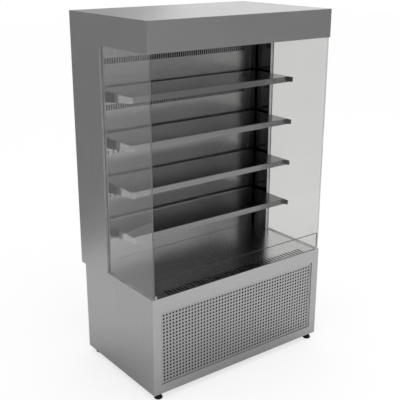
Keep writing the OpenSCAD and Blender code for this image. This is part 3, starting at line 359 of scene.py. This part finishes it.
finishOf = {
    "wallSteel": ["side_skin_left", "side_skin_right", "rear_skin"],
    "headerSteel": ["header_fascia"],
    "roofSteel": ["roof_skin"],
    "baseSteel": ["front_frame"],
    "panelSteel": ["grille_panel"],
    "linerSteel": ["side_liner_left", "side_liner_right", "shelf_uprights"],
    "backSteel": ["back_panel"],
    "ductSteel": ["inner_liner", "fan_plate"],
    "deckSteel": ["deck_plate"],
    "shelfSteel": ["shelf_1", "shelf_2", "shelf_3", "shelf_4", "ceiling_panel"],
    "bracketSteel": ["bracket_left_1", "bracket_left_2", "bracket_left_3", "bracket_left_4",
                     "bracket_right_1", "bracket_right_2", "bracket_right_3", "bracket_right_4"],
    "galvanisedSheet": ["rear_cover"],
    "machineSheet": ["tub_skin", "base_pan"],
    "aluminium": ["air_honeycomb", "lamp_housing"],
    "finStock": ["evaporator_coil"],
    "finPaint": ["condenser_coil"],
    "opalDiffuser": ["lamp_diffuser"],
    "leftGlass": ["side_glass_left"],
    "rightGlass": ["side_glass_right"],
    "lowGlass": ["front_glass"],
    "greyRubber": ["glass_gaskets"],
    "blackPlastic": ["evaporator_fan_frame_left", "evaporator_fan_frame_right",
                     "evaporator_rotor_left", "evaporator_rotor_right", "condenser_rotor",
                     "cable_gland", "rocker_switch", "thermostat_knob"],
    "footRubber": ["foot_front_left", "foot_front_right", "foot_rear_left", "foot_rear_right"],
    "blackPaint": ["condenser_fan_frame", "compressor"],
    "copperTube": ["refrigerant_pipes"],
    "greyPlastic": ["drain_pipe", "evaporation_tray", "electrical_box"],
    "foamFill": ["side_foam_left", "side_foam_right", "cabinet_foam"],
}
for finish, members in finishOf.items():
    for member in members:
        slots = nodes[member].material_slots
        if not slots:
            nodes[member].data.materials.append(finishes[finish])
        for materialSlot in slots:
            materialSlot.material = finishes[finish]
print("finishes set:", len(finishes))


def linkedObject(data):
    made = bpy.data.objects.new(data.name, data)
    bpy.context.scene.collection.objects.link(made)
    return made


def meshOf(name, points, faces, material):
    mesh = bpy.data.meshes.new(name)
    mesh.from_pydata(points.tolist(), [], faces)
    mesh.materials.append(material)
    return linkedObject(mesh)


# A closed piece of the case: its faces are turned outwards before it rides on its body
def pieceOf(name, points, faces, finish, body):
    made = meshOf(name, points, faces, finishes[finish])
    shell = bmesh.new()
    shell.from_mesh(made.data)
    bmesh.ops.recalc_face_normals(shell, faces=shell.faces)
    shell.to_mesh(made.data)
    shell.free()
    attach(made, body)


# Quads of a grid whose point (row, column) has the index row * columns + column. A grid with caps
# also gets a face on its first and on its last row
def gridFaces(rows, columns, wrapRows=False, wrapColumns=True, caps=False):
    row, column = (index.ravel() for index in np.meshgrid(
        np.arange(rows if wrapRows else rows - 1),
        np.arange(columns if wrapColumns else columns - 1), indexing="ij"))
    nextRow, nextColumn = (row + 1) % rows, (column + 1) % columns
    faces = np.stack([row * columns + column, nextRow * columns + column,
                      nextRow * columns + nextColumn, row * columns + nextColumn], axis=1).tolist()
    if caps:
        faces += [list(range(columns)), list(range((rows - 1) * columns, rows * columns))]
    return faces


# Edging with mitred corners: point = corner + inset * miter in the pane's plane, and the profile's
# height stands across that plane. The height becomes x on the end panes and y on the low pane
def edging(name, corners, miters, profile, heightAxis, closed, finish):
    corners, miters, profile = np.array(corners), np.array(miters), np.array(profile)
    flat = corners[:, None, :] + profile[None, :, :1] * miters[:, None, :]
    stations, size = flat.shape[:2]
    columns = [flat[:, :, 0], flat[:, :, 1]]
    columns.insert(heightAxis, np.broadcast_to(profile[None, :, 1], (stations, size)))
    faces = gridFaces(stations, size, wrapRows=closed, caps=not closed)
    pieceOf(name, np.stack(columns, axis=2).reshape(-1, 3), faces, finish, "cabinet")


# Ground edges of the three panes: a closed strip, depth wide, that stands skin inside the glass.
# Their greys are painted shade on the left and low panes and painted light on the right
edges = {"depth": 0.0012, "skin": 0.0002,
         "panes": (("side_glass_left", "leftEdgeFinish", 0),
                   ("side_glass_right", "rightEdgeFinish", 0),
                   ("front_glass", "lowEdgeFinish", 1))}
for paneNode, finish, heightAxis in edges["panes"]:
    low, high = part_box(paneNode)
    low, high = np.array(low) + edges["skin"], np.array(high) - edges["skin"]
    across, up = 1 - heightAxis, 2
    edging(paneNode + "_ground_edge",
           [(low[across], low[up]), (high[across], low[up]), (high[across], high[up]),
            (low[across], high[up])],
           [(1, 1), (-1, 1), (-1, -1), (1, -1)],
           [(0, low[heightAxis]), (edges["depth"], low[heightAxis]),
            (edges["depth"], high[heightAxis]), (0, high[heightAxis])],
           heightAxis, True, finish)
print("pane edges made")

# Sealant fillets where the end panes meet the sheet: a quarter circle hollowed out of the corner,
# inset = width * (1 - sin turn) and height = rise * (1 - cos turn), along three sides. The inner
# one rises to the liner's face
fillet = {"width": 0.005, "outerRise": 0.006, "innerRise": 0.0125, "steps": 7,
          "front": -0.371, "rear": 0.0735, "bottom": 0.598, "top": 1.848}
filletTurn = np.linspace(0, math.pi / 2, fillet["steps"])
hollow = np.stack([fillet["width"] * (1 - np.sin(filletTurn)), 1 - np.cos(filletTurn)], axis=1)
hollow = np.concatenate([hollow, [(0.0, 0.0)]])
# The left fillets take the shaded copy of the sealant and the right ones the lit copy: painted
# shade and painted light
for side, paneNode in (("left", "side_glass_left"), ("right", "side_glass_right")):
    low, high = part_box(paneNode)
    innerX, outerX = sorted((low[0], high[0]), key=abs)
    outward = math.copysign(1, outerX)
    for face, surface, away in (("outer", outerX, outward), ("inner", innerX, -outward)):
        height = surface + away * fillet[face + "Rise"] * hollow[:, 1]
        edging(f"sealant_{side}_{face}",
               [(fillet["front"], fillet["bottom"]), (fillet["rear"], fillet["bottom"]),
                (fillet["rear"], fillet["top"]), (fillet["front"], fillet["top"])],
               [(0, 1), (-1, 1), (-1, -1), (0, -1)], np.stack([hollow[:, 0], height], axis=1),
               0, False, side + "Sealant")
print("sealant made")


# A piece that stands in for a node starts from a copy of its mesh. Points closer than mergeWithin
# become one, and with flatten the cuts between faces within flatAngle of each other go
copying = {"mergeWithin": 0.00001, "flatAngle": 0.01}


def mergedCopy(source, name, finish, flatten):
    shell = bmesh.new()
    shell.from_mesh(nodes[source].data)
    bmesh.ops.remove_doubles(shell, verts=shell.verts, dist=copying["mergeWithin"])
    if flatten:
        bmesh.ops.dissolve_limit(shell, angle_limit=copying["flatAngle"], verts=shell.verts,
                                 edges=shell.edges)
    bmesh.ops.recalc_face_normals(shell, faces=shell.faces)
    mesh = bpy.data.meshes.new(name)
    shell.to_mesh(mesh)
    shell.free()
    mesh.materials.clear()
    mesh.materials.append(finishes[finish])
    points = np.empty(len(mesh.vertices) * 3)
    mesh.vertices.foreach_get("co", points)
    return mesh, points.reshape(-1, 3)


def inPlaceOf(source, mesh, points, body):
    mesh.vertices.foreach_set("co", points.ravel())
    mesh.update()
    made = linkedObject(mesh)
    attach(made, body)
    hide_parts(source)
    return made


# Shelf trays with rounded folds: the rear points stand further from the back panel,
# y = y - forward where y > rearStart. An edge is rounded when neither of its ends is a rear one
levels = range(1, 5)
tray = {"rearStart": 0.15, "forward": 0.006, "fold": 0.0009, "folds": 2}
for level in levels:
    shelf = f"shelf_{level}"
    trayMesh, trayPoints = mergedCopy(shelf, f"shelf_tray_{level}", "shelfSteel", flatten=True)
    atRear = trayPoints[:, 1] > tray["rearStart"]
    trayPoints[:, 1] -= tray["forward"] * atRear
    edgeEnds = np.empty(len(trayMesh.edges) * 2, dtype=np.int32)
    trayMesh.edges.foreach_get("vertices", edgeEnds)
    rounded = ~atRear[edgeEnds.reshape(-1, 2)].any(axis=1)
    weights = trayMesh.attributes.new("bevel_weight_edge", "FLOAT", "EDGE")
    weights.data.foreach_set("value", rounded.astype(np.float32))
    shelfTray = inPlaceOf(shelf, trayMesh, trayPoints, shelf)
    rounding = shelfTray.modifiers.new("folds", "BEVEL")
    rounding.width = tray["fold"]
    rounding.segments = tray["folds"]
    rounding.limit_method = "WEIGHT"
print("shelf trays made")

# Bracket arms whose rim ends just under the shelf's face: z = z - drop within a band below the top
arm = {"drop": 0.0052, "band": 0.001}
for side in ("left", "right"):
    for level in levels:
        bracket = f"bracket_{side}_{level}"
        armMesh, armPoints = mergedCopy(bracket, f"bracket_arm_{side}_{level}", "bracketSteel",
                                        flatten=True)
        armPoints[:, 2] -= arm["drop"] * (armPoints[:, 2] > armPoints[:, 2].max() - arm["band"])
        inPlaceOf(bracket, armMesh, armPoints, f"bracket_pair_{level}")
print("bracket arms made")

# Feet with a broader pad: round the foot's axis, x = axis + widen * (x - axis) where z < padTop,
# and y alike
pad = {"widen": 1.25, "padTop": 0.032}
for place in ("front_left", "front_right", "rear_left", "rear_right"):
    foot = f"foot_{place}"
    padMesh, padPoints = mergedCopy(foot, f"foot_pad_{place}", "footRubber", flatten=False)
    axis = (padPoints[:, :2].min(axis=0) + padPoints[:, :2].max(axis=0)) / 2
    inPad = (padPoints[:, 2] < pad["padTop"])[:, None]
    padPoints[:, :2] += inPad * (pad["widen"] - 1) * (padPoints[:, :2] - axis)
    inPlaceOf(foot, padMesh, padPoints, foot)
print("foot pads made")

# Back sheet, the two upper rows of air slots opened a little further: around each slot's middle,
# x = middle + widen * (x - middle), and z = row + stretch * (z - row)
airSlots = {"rows": (1.49, 1.74), "reach": 0.0135, "lastX": 0.485, "pitch": 0.015, "widen": 1.38,
            "stretch": 1.25}
sheetMesh, sheetPoints = mergedCopy("back_panel", "back_sheet", "backSteel", flatten=False)
for row in airSlots["rows"]:
    rise = sheetPoints[:, 2] - row
    inRow = (np.abs(rise) < airSlots["reach"]) & (np.abs(sheetPoints[:, 0]) < airSlots["lastX"])
    middle = airSlots["pitch"] * np.round(sheetPoints[:, 0] / airSlots["pitch"])
    sheetPoints[:, 0] += inRow * (airSlots["widen"] - 1) * (sheetPoints[:, 0] - middle)
    sheetPoints[:, 2] += inRow * (airSlots["stretch"] - 1) * rise
inPlaceOf("back_panel", sheetMesh, sheetPoints, "cabinet")
print("back sheet made")

# Soft seal round the grille panel, in the rebate: a half bulb, inset = middle - half * cos turn
# and height = crown * sin turn. Along the top the inset counts for topShare only
seal = {"middle": 0.0040, "half": 0.0036, "crown": 0.0022, "foot": -0.3670, "back": -0.3570,
        "steps": 9, "side": 0.549, "low": 0.0885, "high": 0.515, "topShare": 0.5}
sealTurn = np.linspace(0, math.pi, seal["steps"])
bulb = np.stack([seal["middle"] - seal["half"] * np.cos(sealTurn),
                 seal["foot"] - seal["crown"] * np.sin(sealTurn)], axis=1)
bulb = np.concatenate([bulb, [(seal["middle"] + seal["half"], seal["back"]),
                              (seal["middle"] - seal["half"], seal["back"])]])
edging("grille_seal",
       [(-seal["side"], seal["low"]), (-seal["side"], seal["high"]), (seal["side"], seal["high"]),
        (seal["side"], seal["low"])],
       [(1, 0), (1, -seal["topShare"]), (-1, -seal["topShare"]), (-1, 0)],
       bulb, 1, False, "grilleRubber")
print("grille seal made")

# Dark filter mat inside the grille's tray. Its face waves gently:
# depth = wave * sin(2 pi x / pitch) * sin(2 pi z / pitch)
filterMat = {"side": 0.534, "bottom": 0.094, "top": 0.505, "face": -0.3615, "back": -0.3580,
             "wave": 0.0005, "pitch": 0.055, "columns": 120, "rows": 48}
matX, matZ = np.meshgrid(np.linspace(-filterMat["side"], filterMat["side"], filterMat["columns"]),
                         np.linspace(filterMat["bottom"], filterMat["top"], filterMat["rows"]))
ripple = 2 * math.pi / filterMat["pitch"]
matY = filterMat["face"] + filterMat["wave"] * np.sin(ripple * matX) * np.sin(ripple * matZ)
matPoints = np.concatenate([np.stack([matX, depth, matZ], axis=2).reshape(-1, 3)
                            for depth in (matY, np.full_like(matY, filterMat["back"]))])
matFaces = np.array(gridFaces(filterMat["rows"], filterMat["columns"], wrapColumns=False))
matIndex = np.arange(matX.size).reshape(matX.shape)
rim = np.concatenate([matIndex[0, :-1], matIndex[:-1, -1], matIndex[-1, :0:-1],
                      matIndex[:0:-1, 0]])
rimAfter = np.roll(rim, -1)
matSides = np.stack([rim, rim + matX.size, rimAfter + matX.size, rimAfter], axis=1)
pieceOf("grille_filter", matPoints,
        np.concatenate([matFaces, matFaces + matX.size, matSides]).tolist(),
        "filterFoam", "grille")
print("filter mat made")

# Screws of the rear cover, in columns of x and the z of their rows. Each is a turned profile of
# radius and height with a round recess: x = radius * cos turn, z = radius * sin turn
screws = {"face": 0.3275, "segments": 14,
          "columns": ((-0.585, (0.052, 0.3, 0.545)), (-0.2, (0.052, 0.545)),
                      (0.2, (0.052, 0.545)), (0.585, (0.052, 0.3, 0.545))),
          "profile": ((0.0046, 0.0), (0.0046, 0.0008), (0.0041, 0.0018), (0.003, 0.0025),
                      (0.0018, 0.0026), (0.0018, 0.0013), (0.0004, 0.0011))}
screwRadius, screwHeight = np.array(screws["profile"]).T
screwTurn = np.linspace(0, 2 * math.pi, screws["segments"], endpoint=False)
oneScrew = np.stack([np.outer(screwRadius, np.cos(screwTurn)),
                     np.outer(screwHeight, np.ones_like(screwTurn)),
                     np.outer(screwRadius, np.sin(screwTurn))], axis=2).reshape(-1, 3)
screwFaces = gridFaces(len(screwRadius), screws["segments"], caps=True)
places = [(x, screws["face"], z) for x, rows in screws["columns"] for z in rows]
pieceOf("rear_cover_screws", np.concatenate([oneScrew + place for place in places]),
        [[corner + number * len(oneScrew) for corner in face]
         for number in range(len(places)) for face in screwFaces],
        "screwSteel", "cabinet")
print("screws made:", len(places))


# Turns and spreads are in degrees round the case
studio = {
    "floorSize": 40.0,
    "floorColor": gray(0.97),
    "shadowShare": 0.3,
    "mirroredShadeNearCase": gray(0.68),
    "mirrorReach": 0.5,
    "mirrorStart": 0.5,
    "wallColor": gray(0.44),
    "wallSides": 144,
    "wallRadius": 6.5,
    "wallDip": 4.4,
    "dipTurn": 122.0,
    "dipSpread": 34.0,
    "wallHeight": 2.7,
    "roofDip": 0.8,
    "roofTurn": 45.0,
    "roofSpread": 30.0,
    "wallPeak": 8.0,
    "peakTurn": 74.0,
    "peakSpread": 11.0,
    "lampPower": 50.0,
    "lampSize": 4.0,
    "lampPlace": (0.2, -1.5, 5.0),
    "lampTilt": (-12, -8, 0),
}


# Floor paint: white to the camera with a share of the shadow. Metal mirrors it greyer near the
# case, a painted shade for the shadow round the case, from mirrorStart of the way to full white at
# mirrorReach past the case's box
def floorPaint():
    mat, tree, shader = startMaterial("floorPaint", studio["floorColor"], roughness=1.0,
                                      specular=0.0)
    path = tree.nodes.new("ShaderNodeLightPath")
    reach = [half + studio["mirrorReach"] for half in cadBox[1][:2]]
    spread = tree.nodes.new("ShaderNodeVectorMath")
    spread.operation = "LENGTH"
    tree.links.new(objectSpace(tree, (1 / reach[0], 1 / reach[1], 0)), spread.inputs[0])
    nearness = rangeOf(tree, spread.outputs["Value"], 0, 1, studio["mirrorStart"], 1.0)
    shadeSeenByMetal = mixColors(tree, nearness, studio["mirroredShadeNearCase"], studio["floorColor"])
    tintFrom(tree, shader, path.outputs["Is Glossy Ray"], studio["floorColor"], shadeSeenByMetal)
    share = mathOf(tree, "MULTIPLY", path.outputs["Is Camera Ray"], 1 - studio["shadowShare"])
    white = tree.nodes.new("ShaderNodeEmission")
    mixShaders(tree, share, shader.outputs[0], white.outputs[0])
    return mat


# Floor: one square at the height of the feet
halfFloor = studio["floorSize"] / 2
floorPoints = halfFloor * np.array([(-1, -1, 0), (1, -1, 0), (1, 1, 0), (-1, 1, 0)])
floor = meshOf("studioFloor", floorPoints, [(0, 1, 2, 3)], floorPaint())

# Low grey studio wall that only metal and glass mirror. In plan its radius is a circle's, less a
# bell curve of the turn. Its top is a level, less a bell curve where the roof looks, plus a peak
turns = np.linspace(0, 2 * math.pi, studio["wallSides"], endpoint=False)


# Bell curve of the turns: exp(-(offset / spread) ^ 2), the offset between -180 and 180 degrees
def bell(center, spread):
    return np.exp(-(((np.degrees(turns) - center + 180) % 360 - 180) / spread) ** 2)


radius = studio["wallRadius"] - studio["wallDip"] * bell(studio["dipTurn"], studio["dipSpread"])
top = (studio["wallHeight"] - studio["roofDip"] * bell(studio["roofTurn"], studio["roofSpread"])
       + studio["wallPeak"] * bell(studio["peakTurn"], studio["peakSpread"]))
wallX, wallY = np.cos(turns) * radius, np.sin(turns) * radius
wallPoints = np.concatenate([np.column_stack([wallX, wallY, height])
                             for height in (np.zeros_like(top), top)])
wallPaint = startMaterial("wallPaint", studio["wallColor"], roughness=1.0, specular=0.0)[0]
wall = meshOf("studioWall", wallPoints, gridFaces(2, studio["wallSides"]), wallPaint)
wall.visible_camera = False
wall.visible_transmission = False
wall.visible_diffuse = False
wall.visible_shadow = False

world = bpy.data.worlds.new("studioWorld")
bpy.context.scene.world = world
world.use_nodes = True
backdrop = world.node_tree.nodes["Background"]
backdrop.inputs["Color"].default_value = (1, 1, 1, 1)
backdrop.inputs["Strength"].default_value = 1.0

overhead = bpy.data.lights.new("overheadLight", "AREA")
overhead.shape = "SQUARE"
overhead.size = studio["lampSize"]
overhead.energy = studio["lampPower"]
lamp = linkedObject(overhead)
lamp.location = studio["lampPlace"]
lamp.rotation_euler = [math.radians(angle) for angle in studio["lampTilt"]]

# Camera at the photograph's place, with its tilt down, turn and roll in degrees
view = {"lens": 68.2, "sensor": 36.0, "clipEnd": 100.0, "place": (-2.5233, -3.3184, 2.3208),
        "down": 18.52, "turn": -37.07, "roll": -0.08}
photoCamera = bpy.data.cameras.new("photoCamera")
photoCamera.lens = view["lens"]
photoCamera.sensor_width = view["sensor"]
photoCamera.clip_end = view["clipEnd"]
camera = linkedObject(photoCamera)
camera.location = view["place"]
camera.rotation_euler = [math.radians(angle) for angle in (90 - view["down"], view["roll"],
                                                          view["turn"])]
bpy.context.scene.camera = camera
bpy.context.scene.view_settings.view_transform = "Standard"
print("studio set")

bpy.context.view_layer.update()
